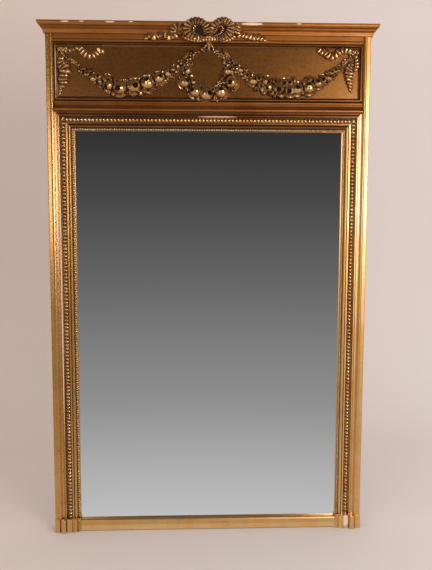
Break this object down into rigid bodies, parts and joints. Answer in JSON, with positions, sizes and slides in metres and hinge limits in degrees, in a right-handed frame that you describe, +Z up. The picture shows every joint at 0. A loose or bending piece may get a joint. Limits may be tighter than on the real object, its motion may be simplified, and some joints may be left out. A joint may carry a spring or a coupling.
{
  "type": "trumeau mirror",
  "caption": "Tall wall mirror in a gilded wooden frame with a carved frieze of swags, a wreath and a ribbon bow, hung by hinged rings at the back.",
  "frame": {"origin": "on the wall plane, at the centre of the upper batten's back face, midway between the pivots of the two hanging rings", "axes": "+Z up, the front faces -Y, +Y into the wall, +X to the viewer's right"},
  "size_m": [1.148, 0.1146, 1.793],
  "materials": {
    "pine": "planed softwood, browned with age",
    "planks": "rough-sawn softwood, browned with age",
    "silvered_glass": "silvered plate glass",
    "gilding": "water gilding over red-brown bole, rubbed at the edges",
    "carved_gilding": "gilded carving with dark recesses",
    "ring_brass": "dull, aged",
    "screw_steel": "dark, slotted"
  },
  "bodies": {
    "mirror": {"stile_left": "pine", "stile_right": "pine", "bottom_rail": "pine", "middle_rail": "pine", "top_rail": "pine", "cap_board": "pine", "batten_lower": "pine", "batten_upper": "pine", "glass_wedge_left_1": "planks", "glass_wedge_left_2": "planks", "glass_wedge_left_3": "planks", "glass_wedge_right_1": "planks", "glass_wedge_right_2": "planks", "glass_wedge_right_3": "planks", "backboard_1": "planks", "backboard_2": "planks", "backboard_3": "planks", "backboard_4": "planks", "mirror_glass": "silvered_glass", "outer_band_left": "gilding", "outer_band_right": "gilding", "surround_left": "gilding", "surround_right": "gilding", "surround_top": "gilding", "rail_moulding": "gilding", "base_block_left": "gilding", "base_block_right": "gilding", "frieze_panel": "gilding", "frieze_moulding_left": "gilding", "frieze_moulding_right": "gilding", "frieze_moulding_top": "gilding", "frieze_moulding_bottom": "gilding", "architrave": "gilding", "top_band": "gilding", "cornice_front": "gilding", "cornice_return_left": "gilding", "cornice_return_right": "gilding", "leaf_strip_left": "carved_gilding", "leaf_strip_right": "carved_gilding", "leaf_strip_top": "carved_gilding", "bead_strip_left": "carved_gilding", "bead_strip_right": "carved_gilding", "bead_strip_top": "carved_gilding", "crest_bow": "carved_gilding", "crest_tail_left": "carved_gilding", "crest_tail_right": "carved_gilding", "wreath": "carved_gilding", "corner_bow_left": "carved_gilding", "corner_bow_right": "carved_gilding", "swag_left": "carved_gilding", "swag_right": "carved_gilding", "hanger_plate_left": "ring_brass", "hanger_plate_right": "ring_brass", "hanger_screw_left_1": "screw_steel", "hanger_screw_left_2": "screw_steel", "hanger_screw_right_1": "screw_steel", "hanger_screw_right_2": "screw_steel"},
    "ring_left": {"hanging_ring_left": "ring_brass"},
    "ring_right": {"hanging_ring_right": "ring_brass"}
  },
  "joints": [
    {"name": "ring_left_hinge", "type": "hinge", "parent": "mirror", "child": "ring_left", "pos_m": [-0.52, -0.0059, 0], "axis": [1, 0, 0], "range_deg": [0, 180]},
    {"name": "ring_right_hinge", "type": "hinge", "parent": "mirror", "child": "ring_right", "pos_m": [0.52, -0.0059, 0], "axis": [1, 0, 0], "range_deg": [0, 180]}
  ]
}
